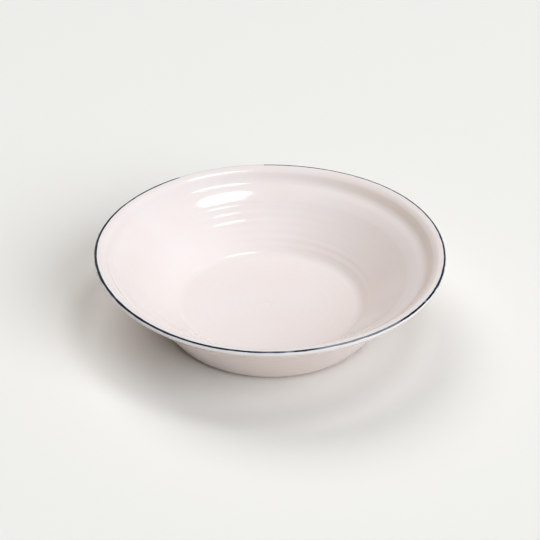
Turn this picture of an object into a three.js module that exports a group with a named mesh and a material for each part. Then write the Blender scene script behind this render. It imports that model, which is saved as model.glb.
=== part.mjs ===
// A wheel-thrown serving bowl: a wide flared lip, a white glaze and a brushed blue line round the rim.
// Millimetres, +Z up, with the origin at the middle of the face that the foot rests on.

import * as THREE from "three";

// Overall sizes, over the glaze.
const rimDiameter = 300;
const overallHeight = 70;

// The flared rim in the clay, from its edge inwards: widths are level, drops are upright.
const lipWidth = 8.2;
const lipDrop = 1.15;
const lipThickness = 3;
const throatWidth = 5.7;
const throatDrop = 8.5;
const shoulderWidth = 13.6;
const shoulderDrop = 6.6;
const wallThickness = 4.5;

// The floor, and the corner where the wall would meet it without its fillet.
const floorRadius = 78.3;
const floorThickness = 8.8;

// The foot: the resting face, the bevel up to the heel, and the ring's height under the floor.
const footRadius = 86.5;
const footWidth = 12.5;
const footHeight = 7;
const heelRadius = 90.2;
const heelHeight = 3;

// Radii that round the corners of the profile.
const lipBend = 12;
const throatBend = 14;
const shoulderBend = 52;
const outerBend = 34;
const floorBend = 10;
const heelBend = 4;
const footEdgeBend = 1;

// The coats: the glaze, the bare strip at the foot, and the line on the edge of the lip.
const glazeThickness = 0.45;
const bareFootHeight = 2;
const lineSetback = 0.35;
const lineWidth = 2.4;

// Clearance between a coat and what it lies on or ends against.
const bondGap = 0.05;

// Fineness of the surfaces, and the most of a straight that one rounded corner may take.
const segmentsAround = 48;
const stepsPerBend = 2;
const stepsRoundLip = 9;
const largestBendShare = 0.9;

const coat = bondGap + glazeThickness;
const lipRound = lipThickness / 2;
const lipSlope = Math.atan2(lipDrop, lipWidth);

function point(r, z) {
  return new THREE.Vector2(r, z);
}

// A corner of the profile that is rounded to a radius.
function corner(place, bend) {
  return { place, bend };
}

// The direction square to a straight, pointing out of clay that lies on the left of it.
function outwards(from, to) {
  const along = to.clone().sub(from).normalize();
  return point(along.y, -along.x);
}

// A line through a start, rounded corners and an end.
function roundedLine(start, corners, end) {
  const path = new THREE.Path();
  path.moveTo(start.x, start.y);
  corners.forEach(({ place, bend }, i) => {
    const before = i > 0 ? corners[i - 1].place : start;
    const after = i < corners.length - 1 ? corners[i + 1].place : end;
    const back = before.clone().sub(place);
    const ahead = after.clone().sub(place);
    const turn = Math.PI - Math.abs(back.angleTo(ahead));
    const room = largestBendShare * Math.min(back.length(), ahead.length());
    const reach = Math.min(bend * Math.tan(turn / 2), room);
    const enter = back.setLength(reach).add(place);
    const leave = ahead.setLength(reach).add(place);
    path.lineTo(enter.x, enter.y);
    path.quadraticCurveTo(place.x, place.y, leave.x, leave.y);
  });
  path.lineTo(end.x, end.y);
  return path.getPoints(stepsPerBend);
}

// The same line, moved out of the clay by a distance.
function outset(line, distance) {
  return line.map((here, i) => {
    const before = i > 0 ? outwards(line[i - 1], here) : outwards(here, line[i + 1]);
    const after = i < line.length - 1 ? outwards(here, line[i + 1]) : before;
    const middle = before.clone().add(after).normalize();
    return here.clone().addScaledVector(middle, distance / middle.dot(before));
  });
}

// The part of a rising line that lies above a height, cut square at that height.
function above(line, height) {
  const first = line.findIndex((p) => p.y > height);
  const share = (height - line[first - 1].y) / (line[first].y - line[first - 1].y);
  return [line[first - 1].clone().lerp(line[first], share), ...line.slice(first)];
}

// The part of a rising line that lies below a height, cut square at that height.
function below(line, height) {
  return [...line.filter((p) => p.y < height), above(line, height)[0]];
}

// The rounded end of the lip at a distance out of the clay, between two angles.
const lipCentre = point(rimDiameter / 2 - coat - lipRound, overallHeight - coat - lipRound);
const lipTop = lipSlope + Math.PI / 2;

function lipEnd(distance, from, to) {
  const radius = lipRound + distance;
  const arc = new THREE.EllipseCurve(lipCentre.x, lipCentre.y, radius, radius, from, to);
  const steps = Math.max(1, Math.round((stepsRoundLip * (to - from)) / Math.PI));
  return arc.getPoints(steps);
}

// The corners of the inside of the clay, from the lip down to the floor.
const floorLevel = footHeight + floorThickness;
const lipEdge = point(lipCentre.x + lipRound * Math.cos(lipTop), lipCentre.y + lipRound * Math.sin(lipTop));
const throatRadius = rimDiameter / 2 - coat - lipWidth;
const throatTop = point(throatRadius, lipEdge.y - (lipEdge.x - throatRadius) * Math.tan(lipSlope));
const throatLow = throatTop.clone().sub(point(throatWidth, throatDrop));
const shoulder = throatLow.clone().sub(point(shoulderWidth, shoulderDrop));
const floorCorner = point(floorRadius, floorLevel);
const floorMiddle = point(0, floorLevel);
const inside = roundedLine(
  lipEdge,
  [
    corner(throatTop, lipBend),
    corner(throatLow, throatBend),
    corner(shoulder, shoulderBend),
    corner(floorCorner, floorBend),
  ],
  floorMiddle,
);

// A corner of the inside carried through a wall of this thickness, to the outside.
function through(before, place, after, thickness) {
  return outset([before, place, after], -thickness)[1];
}

// The corners of the outside of the clay, from the resting face up to the lip, whose round end it touches.
const outerShoulder = through(throatLow, shoulder, floorCorner, wallThickness);
const outerThroat = through(throatTop, throatLow, shoulder, wallThickness);
const towardsLip = lipCentre.clone().sub(outerThroat);
const lipUnder = towardsLip.angle() - Math.asin(lipRound / towardsLip.length()) - Math.PI / 2;
const outside = roundedLine(
  point(footRadius, 0),
  [
    corner(point(heelRadius, heelHeight), heelBend),
    corner(outerShoulder, outerBend),
    corner(outerThroat, outerBend),
  ],
  lipEnd(0, lipUnder, lipTop)[0],
);

// The two edges of the line round the lip, and the gap at each, as angles on the lip's end.
const lineInner = lipTop - lineSetback / (lipRound + coat);
const lineOuter = lineInner - lineWidth / (lipRound + coat);
const lineGap = bondGap / lipRound;

// A solid of revolution from a profile with its material on the left.
function turned(name, profile, finish) {
  const first = profile[0];
  const last = profile[profile.length - 1];
  const onAxis = first.x === 0 && last.x === 0;
  const points = onAxis ? profile : [...profile, first.clone()];
  const geometry = new THREE.LatheGeometry(points, segmentsAround);
  geometry.rotateX(Math.PI / 2);
  const mesh = new THREE.Mesh(geometry, new THREE.MeshStandardMaterial(finish));
  mesh.name = name;
  return mesh;
}

// The profile of a coat between its bonded face and its free face.
function shell(bonded, free) {
  return [...bonded].reverse().concat(free);
}

const bareClay = { color: 0xceaf9a, roughness: 0.85, metalness: 0 };
const whiteGlaze = { color: 0xece4e1, roughness: 0.15, metalness: 0 };
const blueLine = { color: 0x161b30, roughness: 0.25, metalness: 0 };

// The thrown body: wall, floor and flared lip, flat underneath where the foot is luted on.
function clayBody() {
  const wall = above(outside, footHeight);
  const lip = [
    ...lipEnd(0, lipUnder, lineOuter).slice(1),
    ...lipEnd(0, lineOuter, lineInner).slice(1),
    ...lipEnd(0, lineInner, lipTop).slice(1, -1),
  ];
  return turned("clay_body", [point(0, footHeight), ...wall, ...lip, ...inside], bareClay);
}

// The foot ring, whose outer face carries the wall on down to the table.
function footRing() {
  const innerRadius = footRadius - footWidth;
  const restingFace = roundedLine(
    point(innerRadius, footHeight),
    [corner(point(innerRadius, 0), footEdgeBend), corner(point(footRadius, 0), footEdgeBend)],
    outside[1],
  );
  const face = below(outside.slice(1), footHeight);
  return turned("foot_ring", [...restingFace, ...face.slice(1)], bareClay);
}

// The glaze inside, from the rim line to the middle of the floor.
function insideGlaze() {
  const face = (distance) => [
    ...lipEnd(distance, lineInner + lineGap, lipTop).slice(0, -1),
    ...outset(inside, distance),
  ];
  return turned("inside_glaze", shell(face(bondGap), face(coat)), whiteGlaze);
}

// The glaze outside, from just above the table, over the foot and wall, to the rim line.
function outsideGlaze() {
  const face = (distance) => [
    ...above(outset(outside, distance), bareFootHeight),
    ...lipEnd(distance, lipUnder, lineOuter - lineGap).slice(1),
  ];
  return turned("outside_glaze", shell(face(bondGap), face(coat)), whiteGlaze);
}

// The glaze in the well inside the foot ring.
function footWellGlaze() {
  const radius = footRadius - footWidth - bondGap;
  const lower = footHeight - coat;
  const upper = footHeight - bondGap;
  const profile = [point(0, lower), point(radius, lower), point(radius, upper), point(0, upper)];
  return turned("foot_well_glaze", profile, whiteGlaze);
}

// The brushed line, fired into the glaze on the edge of the lip.
function rimLine() {
  const face = (distance) => lipEnd(distance, lineOuter, lineInner);
  return turned("rim_line", shell(face(bondGap), face(coat)), blueLine);
}

const bowl = new THREE.Group();
bowl.name = "serving_bowl";
bowl.add(clayBody(), footRing(), insideGlaze(), outsideGlaze(), footWellGlaze(), rimLine());

export default bowl;
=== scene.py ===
"""A hand-thrown serving bowl: flared lip, throwing rings, warm white glaze and a brushed blue rim line."""

import math

import bmesh
import bpy
from bpy.props import FloatProperty, FloatVectorProperty, IntProperty, PointerProperty
from bpy.types import Operator, Panel, PropertyGroup
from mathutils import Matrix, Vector, noise


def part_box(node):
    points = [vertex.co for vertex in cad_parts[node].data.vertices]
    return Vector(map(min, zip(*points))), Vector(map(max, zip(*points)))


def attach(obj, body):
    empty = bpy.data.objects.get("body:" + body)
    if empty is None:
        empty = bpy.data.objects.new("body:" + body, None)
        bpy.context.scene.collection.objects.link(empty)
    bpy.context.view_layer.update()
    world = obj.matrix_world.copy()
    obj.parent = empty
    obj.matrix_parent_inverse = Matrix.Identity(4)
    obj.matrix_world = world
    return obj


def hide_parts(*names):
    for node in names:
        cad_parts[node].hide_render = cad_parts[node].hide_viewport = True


bl_info = {
    "name": "Hand-thrown serving bowl",
    "version": (1, 0, 0),
    "blender": (4, 5, 0),
    "location": "View3D > Sidebar > Bowl",
    "description": "Builds a glazed earthenware bowl and a plain studio around it",
    "category": "Add Mesh",
}

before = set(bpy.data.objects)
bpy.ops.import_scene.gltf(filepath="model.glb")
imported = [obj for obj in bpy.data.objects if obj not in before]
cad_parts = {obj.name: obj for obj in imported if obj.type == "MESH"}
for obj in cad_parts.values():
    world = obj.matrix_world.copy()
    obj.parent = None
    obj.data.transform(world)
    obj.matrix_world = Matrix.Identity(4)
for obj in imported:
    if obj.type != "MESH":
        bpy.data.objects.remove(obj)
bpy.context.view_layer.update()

MM = 0.001
FULL_TURN = 2.0 * math.pi

# Clearance between the clay and its coats, as in the solids.
BOND_GAP = 0.05 * MM


def length(name, description, default):
    """A property that holds a size in metres."""
    return FloatProperty(name=name, description=description, default=default, unit="LENGTH", precision=5)


def angle(name, description, degrees):
    """A property that holds an angle, given in degrees."""
    return FloatProperty(
        name=name, description=description, default=math.radians(degrees), subtype="ANGLE", unit="ROTATION"
    )


def share(name, description, default):
    """A property that holds a share from 0 to 1."""
    return FloatProperty(
        name=name, description=description, default=default, min=0.0, max=1.0, subtype="FACTOR"
    )


def strength(name, description, default):
    """A property that holds a plain number."""
    return FloatProperty(name=name, description=description, default=default, min=0.0)


def colour(name, description, default):
    """A property that holds a linear colour."""
    return FloatVectorProperty(name=name, description=description, default=default, size=3, subtype="COLOR")


class BowlForm(PropertyGroup):
    """The profile of the clay, and the coats on it."""

    rim_radius: length("Rim radius", "Outermost radius, over the glaze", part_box("outside_glaze")[1].x)
    height: length("Height", "From the table to the top of the rim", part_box("rim_line")[1].z)
    lip_width: length("Lip width", "Level width of the flat lip", 8.2 * MM)
    lip_drop: length("Lip drop", "How far the lip falls across its width", 1.15 * MM)
    line_reach: length("Painted reach", "How far the painted edge reaches in on the lip's flat", 1.15 * MM)
    lip_thickness: length("Lip thickness", "Thickness of the clay at the lip", 3 * MM)
    throat_width: length("Throat width", "Level width of the steep throat", 5.7 * MM)
    throat_drop: length("Throat drop", "Upright drop of the throat", 8.5 * MM)
    shoulder_width: length("Shoulder width", "Level width of the shoulder", 13.6 * MM)
    shoulder_drop: length("Shoulder drop", "Upright drop of the shoulder", 6.6 * MM)
    wall_thickness: length("Wall thickness", "Thickness of the clay in the wall", 4.5 * MM)
    floor_radius: length("Floor radius", "Where the wall would meet the floor", 78.3 * MM)
    foot_height: length("Foot height", "Height of the foot ring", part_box("foot_ring")[1].z)
    floor_level: length("Floor level", "Height of the clay floor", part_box("inside_glaze")[0].z - BOND_GAP)
    foot_radius: length("Foot radius", "Outer radius of the resting face", 86.5 * MM)
    foot_width: length("Foot width", "Width of the resting face", 12.5 * MM)
    heel_radius: length("Heel radius", "Radius where the bevel of the foot ends", 90.2 * MM)
    heel_height: length("Heel height", "Height where the bevel of the foot ends", 3 * MM)
    lip_bend: length("Lip bend", "Radius between lip and throat", 8 * MM)
    throat_bend: length("Throat bend", "Radius between throat and shoulder", 13 * MM)
    shoulder_bend: length("Shoulder bend", "Radius between shoulder and wall", 52 * MM)
    outer_bend: length("Outer bend", "Radius of the two bends of the outside", 34 * MM)
    floor_bend: length("Floor bend", "Radius between wall and floor", 10 * MM)
    heel_bend: length("Heel bend", "Radius between wall and foot", 4 * MM)
    foot_edge_bend: length("Foot edge", "Radius of the edges of the resting face", 1 * MM)
    glaze_thickness: length("Glaze", "Thickness of the glaze", 0.45 * MM)
    bond_gap: length("Bond gap", "Clearance between clay and glaze", BOND_GAP)
    bare_foot: length("Bare foot", "Height of the bare strip above the table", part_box("outside_glaze")[0].z)


class ThrowingMarks(PropertyGroup):
    """What the potter's hands leave in the form."""

    ring_relief: share("Ring relief", "Height of the rings inside, 1 as thrown", 1.0)
    ring_wander: length("Ring wander", "How far a ring strays from its circle", 0.7 * MM)
    outer_pitch: length("Outer pitch", "Distance between two rings on the outer wall", 8.5 * MM)
    outer_relief: length("Outer rings", "Height of the rings on the outer wall", 0.012 * MM)
    throat_sink: length("Throat sink", "How far the throat's lower edge slides down on the right", 2.0 * MM)
    unevenness: length("Unevenness", "Slow swells of the surface", 0.1 * MM)
    swell_size: length("Swell size", "Distance across a slow swell", 34 * MM)
    steps_round: IntProperty(name="Steps round", description="Faces round the bowl", default=240, min=48)
    step_along: length("Step along", "Longest face along the profile", 0.8 * MM)
    step_level: length("Step on a level", "Longest face across the flat floor", 2.0 * MM)


class StudioLook(PropertyGroup):
    """The camera, the lamps and the floor."""

    camera_distance: length("Camera distance", "From the camera to the middle of the rim", 1484 * MM)
    camera_elevation: angle("Camera elevation", "Above the rim's plane", 32.05)
    camera_roll: angle("Camera roll", "Turn of the picture", 0.7)
    aim_height: length("Aim height", "Height of the point in the middle of the picture", 49.5 * MM)
    aim_side: length("Aim side", "How far that point lies to the right of the bowl's axis", -0.34 * MM)
    lens: FloatProperty(name="Lens", description="Focal length in millimetres", default=116.5, unit="CAMERA")
    floor_colour: colour("Floor", "Pale floor", (0.865, 0.858, 0.825))
    wall_colour: colour("Walls", "Pale studio walls, as the glaze mirrors them", (0.65, 0.65, 0.65))
    softbox_power: strength("Softbox", "Power of the softbox overhead, in watts", 16.0)
    window_strength: strength("Window", "Strength of the wide light from the right", 2.22)
    back_strength: strength("Back light", "Strength of the wide light from behind", 1.27)
    sky_strength: strength("Sky", "Strength of the even light all round", 0.13)


class GlazeFinish(PropertyGroup):
    """Colours and gloss of clay, glaze and line."""

    glaze: colour("Glaze", "Warm white glaze", (0.84, 0.775, 0.755))
    # The tint also darkens faces that hang over: partly thin glaze, partly painted shade.
    tint: colour("Tint", "Glaze where it is thin and the clay shows", (0.84, 0.72, 0.68))
    # The pool colour is painted shade, laid on the steep throat on the right.
    pool: colour("Throat shade colour", "Glaze where it gathered thick", (0.81, 0.703, 0.637))
    clay: colour("Clay", "Bare fired clay", (0.62, 0.43, 0.32))
    clay_dark: colour("Dark clay", "Grains and turned lines in the clay", (0.46, 0.29, 0.2))
    line: colour("Line", "Pigment where the brush was full", (0.008, 0.011, 0.03))
    line_wash: colour("Line wash", "Pigment where the brush ran dry", (0.27, 0.275, 0.33))
    line_bleed: colour("Line bleed", "Glaze beside the line, which the pigment cools", (0.79, 0.82, 0.86))
    line_inner: length("Line inner edge", "From the start of the painted edge to the line", 0.85 * MM)
    line_outer: length("Line outer edge", "From the same start to the line's far edge", 3.0 * MM)
    line_lean: length("Line lean", "How far the line's inner edge lies off the middle of the rim", 0.22 * MM)
    line_lean_to: angle("Line lean to", "Azimuth where the line is narrowest", 330)
    brush_start: angle("Brush start", "Azimuth where the brush was set down", 92.8)


MIDDLE = Vector((0.0, 0.0, 0.0))
UPWARDS = Vector((0.0, 0.0, 1.0))

# Edges in a rounded corner, and the most of a straight that one corner may take.
ROUNDING = 20
LARGEST_BEND_SHARE = 0.99

# Points nearer than this become one, in the profile and once it is spun.
PROFILE_WELD = 0.001 * MM
SPUN_WELD = 0.0005 * MM

# Faces that meet at a larger angle are shaded apart.
SHARP_EDGE = math.radians(40)

# The share of the glaze's thickness that its mesh has, to leave room under it.
COAT_SHARE = 0.9


def at(radius, height):
    """A point of the profile, which lies in the XZ plane."""
    return Vector((radius, 0.0, height))


def square_to(along):
    """The direction square to another one of the profile, on its left."""
    return at(-along.z, along.x)


def out_of_clay(start, end):
    """The direction square to a straight of the profile, away from the clay."""
    return square_to((end - start).normalized())


def outset(places, distance):
    """The same corners, with every straight between them moved out of the clay."""
    sides = [out_of_clay(a, b) for a, b in zip(places, places[1:])]
    moved = []
    for place, before, after in zip(places, sides[:1] + sides, sides + sides[-1:]):
        middle = (before + after).normalized()
        moved.append(place + middle * (distance / middle.dot(before)))
    return moved


def through(before, place, after, thickness):
    """A corner of the inside carried through the wall to the outside."""
    return outset([before, place, after], -thickness)[1]


def clay_outline(form):
    """The corners of the clay from the middle of the floor over the lip to the foot, each with its bend."""
    coat = form.glaze_thickness + form.bond_gap
    lip_round = form.lip_thickness / 2
    slope = math.atan2(form.lip_drop, form.lip_width)
    along = at(math.cos(slope), math.sin(slope))
    centre = at(form.rim_radius - coat - lip_round, form.height - coat - lip_round)
    lip_edge = centre + square_to(along) * lip_round
    throat_radius = form.rim_radius - coat - form.lip_width
    throat_top = at(throat_radius, lip_edge.z - (lip_edge.x - throat_radius) * math.tan(slope))
    throat_low = throat_top - at(form.throat_width, form.throat_drop)
    shoulder = throat_low - at(form.shoulder_width, form.shoulder_drop)
    floor_corner = at(form.floor_radius, form.floor_level)
    outer_throat = through(shoulder, throat_low, throat_top, form.wall_thickness)
    outer_shoulder = through(floor_corner, shoulder, throat_low, form.wall_thickness)
    to_lip = centre - outer_throat
    under_slope = math.atan2(to_lip.z, to_lip.x) - math.asin(lip_round / to_lip.length)
    under = at(math.sin(under_slope), -math.cos(under_slope))
    half_turn = along.angle(under) / 2
    return {
        "floor_middle": (at(0.0, form.floor_level), None),
        "floor_corner": (floor_corner, form.floor_bend),
        "shoulder": (shoulder, form.shoulder_bend),
        "throat_low": (throat_low, form.throat_bend),
        "throat_top": (throat_top, form.lip_bend),
        "line_start": (lip_edge - along * form.line_reach, None),
        "lip_edge": (lip_edge, None),
        "tip_top": (lip_edge + along * lip_round, math.inf),
        "tip": (centre + along * lip_round, None),
        "tip_bottom": (centre + (along + under).normalized() * (lip_round / math.cos(half_turn)), math.inf),
        "lip_under": (centre + under * lip_round, None),
        "outer_throat": (outer_throat, form.outer_bend),
        "outer_shoulder": (outer_shoulder, form.outer_bend),
        "heel": (at(form.heel_radius, form.heel_height), form.heel_bend),
        "foot_edge": (at(form.foot_radius, 0.0), None),
    }


def stretch(form, first, last, lift):
    """The corners between two named ones, lifted out of the clay, as (place, bend) pairs."""
    outline = clay_outline(form)
    names = list(outline)
    lifted = outset([place for place, _ in outline.values()], lift)
    pairs = [(place, outline[name][1]) for name, place in zip(names, lifted)]
    return pairs[names.index(first) : names.index(last) + 1]


def cut_at_height(pairs, height):
    """The falling stretch down to a height, ending on the straight that crosses it."""
    kept = [pair for pair in pairs if pair[0].z > height]
    low = pairs[len(kept)][0]
    high = kept[-1][0]
    crossing = high.lerp(low, (high.z - height) / (high.z - low.z))
    return kept + [(crossing, None)]


def bend_reach(pairs, i):
    """How far from corner i its rounding starts; an endless bend takes the whole straight before it."""
    place, bend = pairs[i]
    back = pairs[i - 1][0] - place
    ahead = pairs[(i + 1) % len(pairs)][0] - place
    turn = math.pi - back.angle(ahead)
    if math.isinf(bend):
        return back.length
    room = LARGEST_BEND_SHARE * min(back.length, ahead.length)
    return min(bend * math.tan(turn / 2), room)


def draw_profile(bm, pairs, closed=False):
    """Draws the corners as a wire and rounds those that have a bend."""
    verts = [bm.verts.new(place) for place, _ in pairs]
    ends = verts[1:] + verts[:1] if closed else verts[1:]
    for a, b in zip(verts, ends):
        bm.edges.new((a, b))
    for i, (_, bend) in enumerate(pairs):
        if bend:
            bmesh.ops.bevel(
                bm, geom=[verts[i]], offset=bend_reach(pairs, i), offset_type="OFFSET", affect="VERTICES",
                segments=ROUNDING, profile=0.5, material=-1,
            )
    bmesh.ops.remove_doubles(bm, verts=bm.verts[:], dist=PROFILE_WELD)


def divide_profile(bm, marks):
    """Cuts the wire's long edges into even steps, longer ones where the profile is level."""
    for edge in bm.edges[:]:
        first, last = edge.verts
        level = math.isclose(first.co.z, last.co.z, abs_tol=PROFILE_WELD)
        step = marks.step_level if level else marks.step_along
        cuts = math.ceil(edge.calc_length() / step) - 1
        if cuts > 0:
            bmesh.ops.subdivide_edges(bm, edges=[edge], cuts=cuts)


def measure_profile(bm, start):
    """Stores at each vertex of the wire its distance along the wire from the vertex nearest to start."""
    layer = bm.verts.layers.float.new("along")
    here = min(bm.verts, key=lambda v: (v.co - start).length)
    seen = {here}
    distance = 0.0
    while here:
        here[layer] = distance
        ahead = [e.other_vert(here) for e in here.link_edges if e.other_vert(here) not in seen]
        if ahead:
            distance += (ahead[0].co - here.co).length
            seen.add(ahead[0])
        here = ahead[0] if ahead else None


def spin_profile(bm, steps):
    """Turns the wire once round the axis, with poles and seam closed and faces outwards."""
    bmesh.ops.spin(
        bm, geom=bm.verts[:] + bm.edges[:], cent=MIDDLE, axis=UPWARDS,
        angle=FULL_TURN, steps=steps, use_merge=True,
    )
    bmesh.ops.remove_doubles(bm, verts=bm.verts[:], dist=SPUN_WELD)
    bmesh.ops.recalc_face_normals(bm, faces=bm.faces[:])


def smooth_step(low, high, value):
    """0 below low, 1 above high, and a smooth rise between them."""
    t = min(max((value - low) / (high - low), 0.0), 1.0)
    return t * t * (3.0 - 2.0 * t)


# Harmonics of the rim as thrown: waves round it, their size, and the first crest's azimuth in degrees.
RIM_RADIUS_WAVES = ((2, 0.39 * MM, 54.6), (3, 0.89 * MM, 38.0), (4, 0.38 * MM, 42.2))
RIM_HEIGHT_WAVES = ((2, 0.25 * MM, 9.8), (3, 0.53 * MM, -44.5), (4, 0.50 * MM, 24.7))


def waves(harmonics, azimuth):
    """The sum of some harmonics at an azimuth."""
    return sum(size * math.cos(n * (azimuth - math.radians(crest))) for n, size, crest in harmonics)


# How far round from the right the throat slid down fully, and from where it didn't slide.
SLID_FULLY = math.radians(35)
NOT_SLID = math.radians(85)

# The share of the shoulder's width, next to the throat, that slid as far as the throat did.
SLIDING_SHARE = 0.3


def on_right(azimuth):
    """1 on the right of the bowl, where the throat slid down and where its painted shade lies, and 0 on the
    left.
    """
    return smooth_step(math.cos(NOT_SLID), math.cos(SLID_FULLY), math.cos(azimuth))


def slide_throat(form, marks, radius, azimuth):
    """How far a point slides down the shoulder's slope on the right, level and upright."""
    throat_top = form.rim_radius - form.lip_width
    throat_low = throat_top - form.throat_width
    fully = throat_low - SLIDING_SHARE * form.shoulder_width
    near = smooth_step(throat_low - form.shoulder_width, fully, radius)
    near *= 1.0 - smooth_step(throat_low, throat_top, radius)
    slide = marks.throat_sink * near * on_right(azimuth)
    slope = math.atan2(form.shoulder_drop, form.shoulder_width)
    return slide * math.cos(slope), slide * math.sin(slope)


def lean_with_hand(form, marks, co):
    """Moves a point as the hand-made rim leans: not at all at the foot, fully at the rim."""
    azimuth = math.atan2(co.y, co.x)
    hold = smooth_step(0.0, 1.0, co.z / form.height)
    radius = math.hypot(co.x, co.y)
    inwards, down = slide_throat(form, marks, radius, azimuth)
    grow = 1.0 + (hold * waves(RIM_RADIUS_WAVES, azimuth) - inwards) / max(radius, form.floor_radius)
    return Vector((co.x * grow, co.y * grow, co.z + hold * waves(RIM_HEIGHT_WAVES, azimuth) - down))


# The crests of the throwing rings inside, in millimetres: distance from the middle of the floor, and height.
RING_CRESTS = (
    (0.0, 0.0), (5.5, 0.03), (11.8, 0.06), (18.5, 0.06), (24.3, 0.05), (32.4, 0.07), (37.5, 0.05),
    (42.8, 0.05), (48.2, 0.05), (57.5, 0.07), (64.2, 0.05), (71.0, 0.02), (80.5, 0.03), (86.3, 0.07),
    (93.4, 0.1), (102.0, 0.06), (109.5, 0.15), (117.5, 0.115), (125.3, 0.095), (129.9, 0.03),
    (138.0, 0.01), (147.0, 0.01), (155.0, 0.01), (163.0, 0.0), (175.0, 0.0),
)

# The circle in the noise that stands for one turn of the bowl, and the length that stands for one unit of it.
STRAY_CIRCLE = 1.4
STRAY_LENGTH = 20 * MM

# Layers of the noise, far enough apart to differ.
INSIDE_STRAY = 0.0
OUTSIDE_STRAY = 9.0
OUTSIDE_UNEVEN = 14.0


def stray(azimuth, along, layer):
    """A slow random number from -1 to 1 that changes round the bowl and along the profile."""
    x = STRAY_CIRCLE * math.cos(azimuth)
    y = STRAY_CIRCLE * math.sin(azimuth)
    return noise.noise((x, y, layer + along / STRAY_LENGTH))


# Distances along a face between which the wall begins and, inside, its upper rings.
INNER_WALL = (66 * MM, 78 * MM)
UPPER_RINGS = (88 * MM, 104 * MM)
OUTER_WALL = (14 * MM, 30 * MM)

# How firmly the finger pressed on the floor, and at least on the wall.
FLOOR_FIRMNESS = 0.8
LEAST_FIRMNESS = 0.1

# The azimuth in degrees where the finger pressed most, and how narrowly, for the lower and the upper rings.
LOWER_PRESS = 45
LOWER_FOCUS = 4
UPPER_PRESS = 108
UPPER_FOCUS = 10

# How much the rings on the outside come and go.
OUTER_CHANGE = 0.5


def firmness(along, azimuth):
    """How firmly the finger pressed: evenly on the floor, most at the right above it, then at the back."""
    on_wall = smooth_step(*INNER_WALL, along)
    higher = smooth_step(*UPPER_RINGS, along)
    pressed_at = math.radians(LOWER_PRESS + (UPPER_PRESS - LOWER_PRESS) * higher)
    focus = LOWER_FOCUS + (UPPER_FOCUS - LOWER_FOCUS) * higher
    facing = max(0.0, math.cos(azimuth - pressed_at)) ** focus
    on_one_side = LEAST_FIRMNESS + (1.0 - LEAST_FIRMNESS) * facing
    return FLOOR_FIRMNESS * (1.0 - on_wall) + on_one_side * on_wall


def inside_rings(marks, along, azimuth):
    """The height of the throwing rings on the inside of the bowl."""
    place = max(along + marks.ring_wander * stray(azimuth, along, INSIDE_STRAY), 0.0) / MM
    for (low, low_height), (high, high_height) in zip(RING_CRESTS, RING_CRESTS[1:]):
        if place < high:
            break
    turn = (place - low) / (high - low)
    height = low_height + (high_height - low_height) * smooth_step(0.0, 1.0, turn)
    return marks.ring_relief * height * MM * firmness(along, azimuth) * math.cos(FULL_TURN * turn)


def outside_rings(marks, along, azimuth):
    """The height of the throwing rings on the outside of the bowl."""
    on_wall = smooth_step(*OUTER_WALL, along)
    place = along + marks.ring_wander * stray(azimuth, along, OUTSIDE_STRAY)
    uneven = 1.0 + OUTER_CHANGE * stray(azimuth, along, OUTSIDE_UNEVEN)
    return marks.outer_relief * on_wall * uneven * math.cos(FULL_TURN * place / marks.outer_pitch)


# Between which tilts painted shade darkens a steep face inside, and between which the glaze runs thin and
# painted shade darkens a face that hangs over.
STEEP_FACE = (0.18, 0.38)
HANGING_FACE = (0.2, 0.75)

# The height above the table over which the slow swells set in.
STILL_FOOT = 12 * MM


def throat_shading(upwards, azimuth):
    """Painted shade on a steep face inside, only on the right, where the throat slid down and lies in shade.
    """
    steep = smooth_step(*STEEP_FACE, 1.0 - upwards) if upwards > 0.0 else 0.0
    return steep * on_right(azimuth)


def press_marks(bm, form, marks, rings):
    """Moves the surface in and out with the throwing rings and slow swells, then leans it with the rim."""
    along = bm.verts.layers.float["along"]
    ridge = bm.verts.layers.float.new("ridge")
    drained_and_shaded = bm.verts.layers.float.new("drained_and_shaded")
    throat_shade = bm.verts.layers.float.new("throat_shade")
    bm.normal_update()
    moves = []
    for vert in bm.verts:
        azimuth = math.atan2(vert.co.y, vert.co.x)
        swell = marks.unevenness * noise.noise(vert.co / marks.swell_size)
        swell *= smooth_step(0.0, STILL_FOOT, vert.co.z)
        height = rings(marks, vert[along], azimuth) if rings else 0.0
        vert[ridge] = height
        # Painted shade: faces that hang over get the drained tint, partly thin glaze and partly shade; steep
        # faces on the right get the throat's painted shade.
        vert[drained_and_shaded] = smooth_step(*HANGING_FACE, -vert.normal.z)
        vert[throat_shade] = throat_shading(vert.normal.z, azimuth)
        moves.append(lean_with_hand(form, marks, vert.co + vert.normal * (height + swell)))
    for vert, place in zip(bm.verts, moves):
        vert.co = place


def finish_piece(bm, name, nodes, material):
    """Makes an object of a finished mesh, dresses it, hangs it on the root and hides the CAD nodes that it
    stands for.
    """
    bm.normal_update()
    for edge in bm.edges:
        edge.smooth = edge.calc_face_angle(0.0) < SHARP_EDGE
    for face in bm.faces:
        face.smooth = True
    mesh = bpy.data.meshes.new(name)
    bm.to_mesh(mesh)
    bm.free()
    mesh.materials.append(material)
    piece = bpy.data.objects.new(name, mesh)
    bpy.context.scene.collection.objects.link(piece)
    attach(piece, "root")
    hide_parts(*nodes)


def thrown_mesh(form, marks, pairs, rings=None, closed=False):
    """The surface of a piece: its profile is drawn, divided, spun and marked by hand."""
    bm = bmesh.new()
    draw_profile(bm, pairs, closed)
    divide_profile(bm, marks)
    measure_profile(bm, pairs[0][0])
    spin_profile(bm, marks.steps_round)
    press_marks(bm, form, marks, rings)
    return bm


def coat_piece(form, marks, name, node, pairs, rings, material):
    """A coat of glaze: its face is thrown like the clay and then given its thickness."""
    bm = thrown_mesh(form, marks, pairs, rings)
    bmesh.ops.recalc_face_normals(bm, faces=bm.faces[:])
    bmesh.ops.solidify(bm, geom=bm.faces[:], thickness=form.glaze_thickness * COAT_SHARE)
    finish_piece(bm, name, [node], material)


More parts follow.
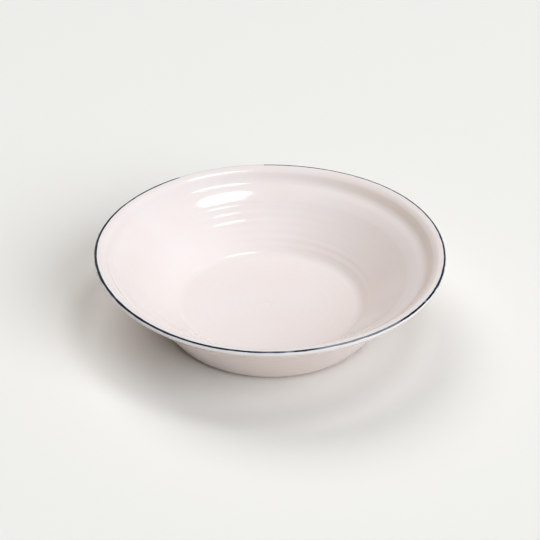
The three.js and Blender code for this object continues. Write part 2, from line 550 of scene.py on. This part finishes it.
class BOWL_OT_clay_body(Operator):
    """Throw the wall, the floor and the flared lip, which lie under the glaze"""

    bl_idname = "bowl.clay_body"
    bl_label = "Clay body"

    def execute(self, context):
        form, marks = context.scene.bowl_form, context.scene.bowl_marks
        wall = cut_at_height(stretch(form, "floor_middle", "foot_edge", 0.0), form.foot_height)
        bm = thrown_mesh(form, marks, wall + [(at(0.0, form.foot_height), None)])
        finish_piece(bm, "thrown_body", ["clay_body"], bare_clay(context))
        return {"FINISHED"}


class BOWL_OT_foot_ring(Operator):
    """Turn the foot ring that the bowl stands on"""

    bl_idname = "bowl.foot_ring"
    bl_label = "Foot ring"

    def execute(self, context):
        form, marks = context.scene.bowl_form, context.scene.bowl_marks
        inner = form.foot_radius - form.foot_width
        face = stretch(form, "outer_shoulder", "foot_edge", 0.0)
        seam = cut_at_height(face, form.foot_height)[-1]
        pairs = [
            seam,
            face[1],
            (face[2][0], form.foot_edge_bend),
            (at(inner, 0.0), form.foot_edge_bend),
            (at(inner, form.foot_height), None),
        ]
        bm = thrown_mesh(form, marks, pairs, closed=True)
        finish_piece(bm, "turned_foot", ["foot_ring"], bare_clay(context))
        return {"FINISHED"}


class BOWL_OT_glaze_coats(Operator):
    """Glaze the inside, the outside and the well of the foot"""

    bl_idname = "bowl.glaze_coats"
    bl_label = "Glaze coats"

    def execute(self, context):
        form, marks = context.scene.bowl_form, context.scene.bowl_marks
        glaze = white_glaze(context)
        coat = form.glaze_thickness + form.bond_gap
        inside = stretch(form, "floor_middle", "line_start", coat)
        outside = cut_at_height(stretch(form, "lip_under", "foot_edge", coat), form.bare_foot)
        radius = form.foot_radius - form.foot_width - form.bond_gap
        level = form.foot_height - form.bond_gap
        well = [(at(radius, level), None), (at(0.0, level), None)]
        coats = (
            ("glaze_inside", "inside_glaze", inside, inside_rings),
            ("glaze_outside", "outside_glaze", outside, outside_rings),
            ("glaze_foot_well", "foot_well_glaze", well, None),
        )
        for name, node, pairs, rings in coats:
            coat_piece(form, marks, name, node, pairs, rings, glaze)
        return {"FINISHED"}


class BOWL_OT_rim_line(Operator):
    """Brush the blue line round the edge of the lip"""

    bl_idname = "bowl.rim_line"
    bl_label = "Rim line"

    def execute(self, context):
        form, marks = context.scene.bowl_form, context.scene.bowl_marks
        coat = form.glaze_thickness + form.bond_gap
        edge = stretch(form, "line_start", "lip_under", coat)
        coat_piece(form, marks, "brushed_rim", "rim_line", edge, None, blue_line(context))
        return {"FINISHED"}


def new_material(name):
    """A node material with an empty tree, and the tree to fill."""
    material = bpy.data.materials.new(name)
    material.use_nodes = True
    tree = material.node_tree
    tree.nodes.clear()
    return material, tree


def add(tree, kind, label="", values=None, **settings):
    """Adds a node with its settings and the values of its inputs."""
    node = tree.nodes.new(kind)
    node.label = label
    for key, value in settings.items():
        setattr(node, key, value)
    for key, value in (values or {}).items():
        node.inputs[key].default_value = value
    return node


def sums(tree, operation, first, second, label=""):
    """A Math node on two sockets or numbers, and its result."""
    node = add(tree, "ShaderNodeMath", label, operation=operation)
    for socket, value in zip(node.inputs, (first, second)):
        if isinstance(value, bpy.types.NodeSocket):
            tree.links.new(value, socket)
        elif value is not None:
            socket.default_value = value
    return node.outputs[0]


def rise(tree, value, low, high, start=0.0, end=1.0, label=""):
    """A smooth rise from start to end as value goes from low to high."""
    node = add(tree, "ShaderNodeMapRange", label, interpolation_type="SMOOTHSTEP")
    tree.links.new(value, node.inputs["Value"])
    for name, number in (("From Min", low), ("From Max", high), ("To Min", start), ("To Max", end)):
        if isinstance(number, bpy.types.NodeSocket):
            tree.links.new(number, node.inputs[name])
        else:
            node.inputs[name].default_value = number
    return node.outputs["Result"]


# Where a Mix node keeps its two colours and their blend, behind its sockets for other types.
MIX_FIRST = 6
MIX_SECOND = 7
MIX_RESULT = 2


def blend_colours(tree, factor, first, second, label=""):
    """A colour mix of two sockets or colours."""
    node = add(tree, "ShaderNodeMix", label, data_type="RGBA")
    tree.links.new(factor, node.inputs["Factor"])
    for index, value in ((MIX_FIRST, first), (MIX_SECOND, second)):
        if isinstance(value, bpy.types.NodeSocket):
            tree.links.new(value, node.inputs[index])
        else:
            node.inputs[index].default_value = (*value, 1.0)
    return node.outputs[MIX_RESULT]


def grain(tree, coordinates, scale, detail, label=""):
    """A noise of the given scale, in waves per metre."""
    node = add(tree, "ShaderNodeTexNoise", label, values={"Scale": scale, "Detail": detail})
    tree.links.new(coordinates, node.inputs["Vector"])
    return node.outputs["Fac"]


def patches(tree, coordinates, pattern, start, end, label):
    """A noise that rises from start to end between its two cuts; a pattern is scale, detail and both cuts."""
    scale, detail, low, high = pattern
    return rise(tree, grain(tree, coordinates, scale, detail, label), low, high, start, end)


GLAZE_GROUP = "Glaze over pink clay"
COLOUR_SOCKET = "NodeSocketColor"
NUMBER_SOCKET = "NodeSocketFloat"

# Patterns in the glaze: waves per metre, detail, and the values of the noise between which each sets in.
MOTTLING = (24.0, 3.0, 0.35, 0.7)
SPECKS = (900.0, 1.0, 0.74, 0.82)
GLOSS = (60.0, 2.0, 0.3, 0.7)

# Ridges where the glaze is thin, by their height.
THIN_RIDGE = (-0.05 * MM, 0.12 * MM)

# How much the clay shows through at most: in the mottling, on the ridges, and on faces that hang over, where
# the glaze ran thin and the tint is also painted shade.
MOTTLING_SHOWS = 0.4
RIDGE_SHOWS = 0.15
DRAINED_AND_SHADED_SHOWS = 0.9

# The specks, and the roughness of the glaze where it is glossiest and where it is least so.
SPECK_COLOUR = (0.45, 0.36, 0.32)
SPECK_STRENGTH = 0.25
SMOOTHEST = 0.05
ROUGHEST = 0.09

# The orange peel of the glaze: waves per metre, detail and height.
PEEL_SCALE = 180.0
PEEL_DETAIL = 2.0
PEEL_HEIGHT = 0.035 * MM

# Indices of refraction of the plain glaze and of the painted edge.
GLAZE_IOR = 1.5
LINE_IOR = 1.33


def glaze_group():
    """The look of the glaze: mottling, clay showing where it is thin, painted shade under overhangs and in
    the throat on the right, specks and orange peel.
    """
    if GLAZE_GROUP in bpy.data.node_groups:
        return bpy.data.node_groups[GLAZE_GROUP]
    tree = bpy.data.node_groups.new(GLAZE_GROUP, "ShaderNodeTree")
    for name in ("Glaze", "Tint", "Throat shade colour"):
        tree.interface.new_socket(name, in_out="INPUT", socket_type=COLOUR_SOCKET)
    for name in ("Ridge", "Drained and shaded", "Throat shade"):
        tree.interface.new_socket(name, in_out="INPUT", socket_type=NUMBER_SOCKET)
    for name, kind in (("Color", COLOUR_SOCKET), ("Roughness", NUMBER_SOCKET), ("Height", NUMBER_SOCKET)):
        tree.interface.new_socket(name, in_out="OUTPUT", socket_type=kind)
    given = add(tree, "NodeGroupInput")
    result = add(tree, "NodeGroupOutput")
    place = add(tree, "ShaderNodeTexCoord").outputs["Object"]
    mottle = patches(tree, place, MOTTLING, 0.0, MOTTLING_SHOWS, "mottling")
    thin = rise(tree, given.outputs["Ridge"], *THIN_RIDGE, 0.0, RIDGE_SHOWS, "thin on ridges")
    # Painted shade, partly thin glaze: faces that hang over show the tint.
    drained_and_shaded = sums(tree, "MULTIPLY", given.outputs["Drained and shaded"], DRAINED_AND_SHADED_SHOWS, "thin glaze and painted shade underneath")
    clay_and_shade_show = sums(tree, "ADD", sums(tree, "ADD", mottle, thin), drained_and_shaded)
    # Painted shade: the steep throat on the right gets the darker shade colour.
    throat_shaded = blend_colours(tree, given.outputs["Throat shade"], given.outputs["Glaze"], given.outputs["Throat shade colour"])
    tinted = blend_colours(tree, clay_and_shade_show, throat_shaded, given.outputs["Tint"])
    specks = patches(tree, place, SPECKS, 0.0, SPECK_STRENGTH, "specks")
    speckled = blend_colours(tree, specks, tinted, SPECK_COLOUR)
    gloss = patches(tree, place, GLOSS, SMOOTHEST, ROUGHEST, "gloss")
    peel = grain(tree, place, PEEL_SCALE, PEEL_DETAIL, "orange peel")
    tree.links.new(speckled, result.inputs["Color"])
    tree.links.new(gloss, result.inputs["Roughness"])
    tree.links.new(sums(tree, "MULTIPLY", peel, PEEL_HEIGHT), result.inputs["Height"])
    return tree


def bumped_surface(tree, base, height, values):
    """Ends a material with a principled surface of this colour and bump, and gives the surface."""
    surface = add(tree, "ShaderNodeBsdfPrincipled", values=values)
    bump = add(tree, "ShaderNodeBump", values={"Strength": 1.0, "Distance": 1.0})
    output = add(tree, "ShaderNodeOutputMaterial")
    tree.links.new(height, bump.inputs["Height"])
    tree.links.new(base, surface.inputs["Base Color"])
    tree.links.new(bump.outputs["Normal"], surface.inputs["Normal"])
    tree.links.new(surface.outputs["BSDF"], output.inputs["Surface"])
    return surface


def glossy_surface(tree, base, group, ior):
    """Ends a glazed material, with the gloss and the bump of its glaze group."""
    surface = bumped_surface(tree, base, group.outputs["Height"], {"IOR": ior})
    tree.links.new(group.outputs["Roughness"], surface.inputs["Roughness"])


def placed_glaze(tree, finish):
    """The glaze group in a material, with the piece's own ridges, its drained and shaded places and its
    painted throat shade.
    """
    group = add(tree, "ShaderNodeGroup", node_tree=glaze_group())
    group.inputs["Glaze"].default_value = (*finish.glaze, 1.0)
    group.inputs["Tint"].default_value = (*finish.tint, 1.0)
    group.inputs["Throat shade colour"].default_value = (*finish.pool, 1.0)
    for layer, name in (("ridge", "Ridge"), ("drained_and_shaded", "Drained and shaded"), ("throat_shade", "Throat shade")):
        stored = add(tree, "ShaderNodeAttribute", attribute_name=layer)
        tree.links.new(stored.outputs["Fac"], group.inputs[name])
    return group


def white_glaze(context):
    """Glossy warm white glaze, shared by the three coats."""
    material, tree = new_material("white_glaze")
    group = placed_glaze(tree, context.scene.bowl_finish)
    glossy_surface(tree, group.outputs["Color"], group, GLAZE_IOR)
    return material


# How full the brush was along its stroke: the share of the way round, and the load.
STROKE = (
    (0.0, 0.8), (0.342, 1.0), (0.3445, 0.1), (0.347, 1.0), (0.3775, 1.0), (0.3855, 0.5), (0.4655, 0.5),
    (0.4715, 0.9), (0.4865, 0.9), (0.4905, 0.15), (0.4945, 0.62), (0.5255, 0.7), (0.5335, 1.0), (0.905, 1.0),
    (0.9125, 0.12),
)


def brush_load(tree, travel):
    """The load of the brush by the share of its stroke."""
    ramp = add(tree, "ShaderNodeValToRGB", "brush load")
    tree.links.new(travel, ramp.inputs["Fac"])
    marks = ramp.color_ramp.elements
    while len(marks) < len(STROKE):
        marks.new(1.0)
    for mark, (way, load) in zip(marks, STROKE):
        mark.position = way
        mark.color = (load, load, load, 1.0)
    return ramp.outputs["Color"]


# The middle of a noise, and how the line's two edges wander: waves per metre, detail and size across the rim.
NOISE_MIDDLE = 0.5
INNER_WANDER = (110.0, 3.0, 0.8 * MM)
OUTER_WANDER = (70.0, 3.0, 1.2 * MM)

# The soft edge of the line, and how far its pigment bleeds into the glaze outside it.
SOFT_EDGE = 0.1 * MM
BLEED_WIDTH = 1.8 * MM

# The loads of the brush between which the bleed sets in, and its most.
BLEED_LOAD = (0.1, 0.5)
BLEED_MOST = 0.8

# Streaks of the bristles, as a pattern like those of the glaze, and the least that they leave.
STREAKS = (45.0, 4.0, 0.22, 0.45)
STREAK_LEAST = 0.45

# Densities of the pigment between which the wash covers the glaze, and the full colour the wash.
WASH_COVERS = (0.0, 0.4)
COLOUR_COVERS = (0.3, 0.8)


def wandering(tree, coordinates, wander):
    """A noise about zero, from its waves per metre, detail and size."""
    scale, detail, size = wander
    about_zero = sums(tree, "SUBTRACT", grain(tree, coordinates, scale, detail), NOISE_MIDDLE)
    return sums(tree, "MULTIPLY", about_zero, size)


def line_edges(tree, place, finish, rim_radius):
    """The inner and the outer edge of the line, measured from the start of the painted edge."""
    lean = finish.line_lean / rim_radius
    towards = (lean * math.cos(finish.line_lean_to), lean * math.sin(finish.line_lean_to), 0.0)
    leaning = add(tree, "ShaderNodeVectorMath", "off the middle", {1: towards}, operation="DOT_PRODUCT")
    tree.links.new(place, leaning.inputs[0])
    leant = sums(tree, "ADD", wandering(tree, place, INNER_WANDER), leaning.outputs["Value"])
    inner = sums(tree, "ADD", leant, finish.line_inner)
    outer = sums(tree, "ADD", wandering(tree, place, OUTER_WANDER), finish.line_outer)
    return inner, outer


def stroke_travel(tree, place, finish):
    """The share of its way round the rim that the brush has gone."""
    split = add(tree, "ShaderNodeSeparateXYZ")
    tree.links.new(place, split.inputs[0])
    azimuth = sums(tree, "ARCTAN2", split.outputs["Y"], split.outputs["X"])
    behind = sums(tree, "SUBTRACT", finish.brush_start, azimuth)
    return sums(tree, "FRACT", sums(tree, "DIVIDE", behind, FULL_TURN), None, "share of the stroke")


def blue_line(context):
    """The glaze of the lip's edge with the brushed line in it."""
    finish = context.scene.bowl_finish
    material, tree = new_material("blue_line")
    group = placed_glaze(tree, finish)
    place = add(tree, "ShaderNodeTexCoord").outputs["Object"]
    across = add(tree, "ShaderNodeAttribute", attribute_name="along").outputs["Fac"]
    inner, outer = line_edges(tree, place, finish, context.scene.bowl_form.rim_radius)
    load = brush_load(tree, stroke_travel(tree, place, finish))
    above = rise(tree, across, inner, sums(tree, "ADD", inner, SOFT_EDGE))
    below = rise(tree, across, sums(tree, "SUBTRACT", outer, SOFT_EDGE), outer, 1.0, 0.0)
    band = sums(tree, "MULTIPLY", above, below, "band")
    bleed_above = rise(tree, across, 0.0, inner)
    bleed_below = rise(tree, across, outer, sums(tree, "ADD", outer, BLEED_WIDTH), 1.0, 0.0)
    beside = sums(tree, "MULTIPLY", bleed_above, bleed_below)
    bleed = sums(tree, "MULTIPLY", beside, rise(tree, load, *BLEED_LOAD, 0.0, BLEED_MOST))
    cooled = blend_colours(tree, bleed, group.outputs["Color"], finish.line_bleed, "bleed")
    streaks = patches(tree, place, STREAKS, STREAK_LEAST, 1.0, "streaks")
    density = sums(tree, "MULTIPLY", sums(tree, "MULTIPLY", band, load), streaks, "density")
    washed = blend_colours(tree, rise(tree, density, *WASH_COVERS), cooled, finish.line_wash)
    painted = blend_colours(tree, rise(tree, density, *COLOUR_COVERS), washed, finish.line)
    glossy_surface(tree, painted, group, LINE_IOR)
    return material


# The clay's grains and its shades from firing, as patterns, and how much they darken it.
GRAIN_SCALE = 1400.0
GRAIN_DETAIL = 3.0
GRAIN_DARKENS = (0.45, 0.75)
GRAIN_STRENGTH = 0.5
SHADES = (60.0, 2.0, 0.4, 0.7)
SHADE_STRENGTH = 0.35

# The height of the grains, and the pitch and the height of the lines of turning.
GRAIN_HEIGHT = 0.06 * MM
TURNING_PITCH = 0.9 * MM
TURNING_HEIGHT = 0.02 * MM
CLAY_ROUGHNESS = 0.85


def bare_clay(context):
    """Matt pinkish fired clay with grains and the lines of turning."""
    name = "bare_clay"
    if name in bpy.data.materials:
        return bpy.data.materials[name]
    finish = context.scene.bowl_finish
    material, tree = new_material(name)
    place = add(tree, "ShaderNodeTexCoord").outputs["Object"]
    radius = add(tree, "ShaderNodeVectorMath", operation="LENGTH")
    tree.links.new(place, radius.inputs[0])
    turns = sums(tree, "MULTIPLY", radius.outputs["Value"], FULL_TURN / TURNING_PITCH)
    turning = sums(tree, "MULTIPLY", sums(tree, "SINE", turns, None), TURNING_HEIGHT, "turning")
    fine = grain(tree, place, GRAIN_SCALE, GRAIN_DETAIL, "grains")
    grains = rise(tree, fine, *GRAIN_DARKENS, 0.0, GRAIN_STRENGTH)
    shades = patches(tree, place, SHADES, 0.0, SHADE_STRENGTH, "fired shades")
    body = blend_colours(tree, sums(tree, "ADD", grains, shades), finish.clay, finish.clay_dark)
    height = sums(tree, "ADD", sums(tree, "MULTIPLY", fine, GRAIN_HEIGHT), turning)
    bumped_surface(tree, body, height, {"Roughness": CLAY_ROUGHNESS})
    return material


# Half the width of the floor, in metres.
FLOOR_HALF_WIDTH = 4.0


def studio_floor(look):
    """A wide pale floor under the bowl."""
    bm = bmesh.new()
    bmesh.ops.create_grid(bm, x_segments=1, y_segments=1, size=FLOOR_HALF_WIDTH)
    mesh = bpy.data.meshes.new("studio_floor")
    bm.to_mesh(mesh)
    bm.free()
    material, tree = new_material("pale_floor")
    surface = add(tree, "ShaderNodeBsdfDiffuse", values={"Color": (*look.floor_colour, 1.0)})
    output = add(tree, "ShaderNodeOutputMaterial")
    tree.links.new(surface.outputs["BSDF"], output.inputs["Surface"])
    mesh.materials.append(material)
    floor = bpy.data.objects.new("studio_floor", mesh)
    bpy.context.scene.collection.objects.link(floor)


def from_sky(azimuth, elevation):
    """The direction towards a lamp, from its azimuth and elevation in degrees."""
    a, e = math.radians(azimuth), math.radians(elevation)
    return Vector((math.cos(e) * math.cos(a), math.cos(e) * math.sin(a), math.sin(e)))


# The softbox overhead, in metres: the width of its disk and where it hangs.
SOFTBOX_WIDTH = 1.04
SOFTBOX_PLACE = (0.84, 0.014, 2.893)

# The wide lights, in degrees: azimuth, elevation and how wide each one is.
WINDOW_PLACE = (318.5, 33.5, 45)
BACK_PLACE = (120, 55, 40)

COOL_WHITE = (0.95, 1.0, 1.05)
NEUTRAL_WHITE = (1.02, 1.0, 0.98)
WARM_WHITE = (1.0, 0.96, 0.94)


def wide_light(name, energy, white, azimuth, elevation, spread):
    """A light like a large far window."""
    lamp = bpy.data.lights.new(name, "SUN")
    lamp.energy = energy
    lamp.color = white
    lamp.angle = math.radians(spread)
    holder = bpy.data.objects.new(name, lamp)
    holder.rotation_euler = from_sky(azimuth, elevation).to_track_quat("Z", "Y").to_euler()
    holder.visible_glossy = False
    bpy.context.scene.collection.objects.link(holder)


def studio_lamps(look):
    """A softbox overhead, and wide lights from the right and from behind."""
    lamp = bpy.data.lights.new("softbox", "AREA")
    lamp.shape = "DISK"
    lamp.size = SOFTBOX_WIDTH
    lamp.energy = look.softbox_power
    holder = bpy.data.objects.new("softbox", lamp)
    holder.location = SOFTBOX_PLACE
    holder.rotation_euler = holder.location.to_track_quat("Z", "Y").to_euler()
    bpy.context.scene.collection.objects.link(holder)
    wide_light("window", look.window_strength, COOL_WHITE, *WINDOW_PLACE)
    wide_light("back_light", look.back_strength, NEUTRAL_WHITE, *BACK_PLACE)


def surround(tree, label, shade, level):
    """A background of this colour and strength in a world's nodes."""
    values = {"Color": (*shade, 1.0), "Strength": level}
    return add(tree, "ShaderNodeBackground", label, values).outputs["Background"]


def studio_surroundings(look):
    """An even light from all round, and the pale walls that the camera sees and the glaze mirrors."""
    world = bpy.data.worlds.new("studio_surroundings")
    world.use_nodes = True
    tree = world.node_tree
    tree.nodes.clear()
    sky = surround(tree, "even light", WARM_WHITE, look.sky_strength)
    walls = surround(tree, "pale walls", look.wall_colour, 1.0)
    ray = add(tree, "ShaderNodeLightPath")
    mirrored = sums(tree, "MAXIMUM", ray.outputs["Is Glossy Ray"], ray.outputs["Is Transmission Ray"])
    shown = sums(tree, "MAXIMUM", ray.outputs["Is Camera Ray"], mirrored)
    either = add(tree, "ShaderNodeMixShader")
    output = add(tree, "ShaderNodeOutputWorld")
    tree.links.new(shown, either.inputs["Fac"])
    tree.links.new(sky, either.inputs[1])
    tree.links.new(walls, either.inputs[2])
    tree.links.new(either.outputs["Shader"], output.inputs["Surface"])
    bpy.context.scene.world = world


SENSOR_WIDTH_MM = 36.0


def studio_camera(form, look):
    """A long lens in front of the bowl, looking down into it."""
    data = bpy.data.cameras.new("camera")
    data.lens = look.lens
    data.sensor_width = SENSOR_WIDTH_MM
    camera = bpy.data.objects.new("camera", data)
    rim_middle = Vector((0.0, 0.0, form.height))
    towards = Vector((0.0, -math.cos(look.camera_elevation), math.sin(look.camera_elevation)))
    camera.location = rim_middle + towards * look.camera_distance
    aim = Vector((look.aim_side, 0.0, look.aim_height)) - camera.location
    camera.rotation_euler = aim.to_track_quat("-Z", "Y").to_euler()
    camera.rotation_euler.rotate_axis("Z", look.camera_roll)
    bpy.context.scene.collection.objects.link(camera)
    bpy.context.scene.camera = camera


class BOWL_OT_studio(Operator):
    """Set the floor, the lamps and the camera"""

    bl_idname = "bowl.studio"
    bl_label = "Studio"

    def execute(self, context):
        look = context.scene.bowl_studio
        studio_floor(look)
        studio_lamps(look)
        studio_surroundings(look)
        studio_camera(context.scene.bowl_form, look)
        context.scene.view_settings.view_transform = "Standard"
        return {"FINISHED"}


class BOWL_PT_sidebar(Panel):
    """The bowl's sizes, finishes and steps"""

    bl_label = "Serving bowl"
    bl_idname = "BOWL_PT_sidebar"
    bl_space_type = "VIEW_3D"
    bl_region_type = "UI"
    bl_category = "Bowl"

    def draw(self, context):
        for operator in OPERATORS:
            self.layout.operator(operator.bl_idname)
        for settings in GROUPS:
            box = self.layout.box()
            values = getattr(context.scene, settings)
            for key in values.__annotations__:
                box.prop(values, key)


OPERATORS = (
    BOWL_OT_studio,
    BOWL_OT_clay_body,
    BOWL_OT_foot_ring,
    BOWL_OT_glaze_coats,
    BOWL_OT_rim_line,
)
GROUPS = {
    "bowl_form": BowlForm,
    "bowl_marks": ThrowingMarks,
    "bowl_finish": GlazeFinish,
    "bowl_studio": StudioLook,
}


def register():
    """Makes the settings, the steps and the panel known."""
    for settings in GROUPS.values():
        bpy.utils.register_class(settings)
    for operator in OPERATORS:
        bpy.utils.register_class(operator)
    bpy.utils.register_class(BOWL_PT_sidebar)
    for key, settings in GROUPS.items():
        setattr(bpy.types.Scene, key, PointerProperty(type=settings))


def unregister():
    """Takes them away again, in the other order."""
    for key in GROUPS:
        delattr(bpy.types.Scene, key)
    bpy.utils.unregister_class(BOWL_PT_sidebar)
    for operator in reversed(OPERATORS):
        bpy.utils.unregister_class(operator)
    for settings in reversed(GROUPS.values()):
        bpy.utils.unregister_class(settings)


def main():
    """Builds the bowl and its studio."""
    register()
    bpy.ops.bowl.studio()
    bpy.ops.bowl.clay_body()
    bpy.ops.bowl.foot_ring()
    bpy.ops.bowl.glaze_coats()
    bpy.ops.bowl.rim_line()


if __name__ == "__main__":
    main()
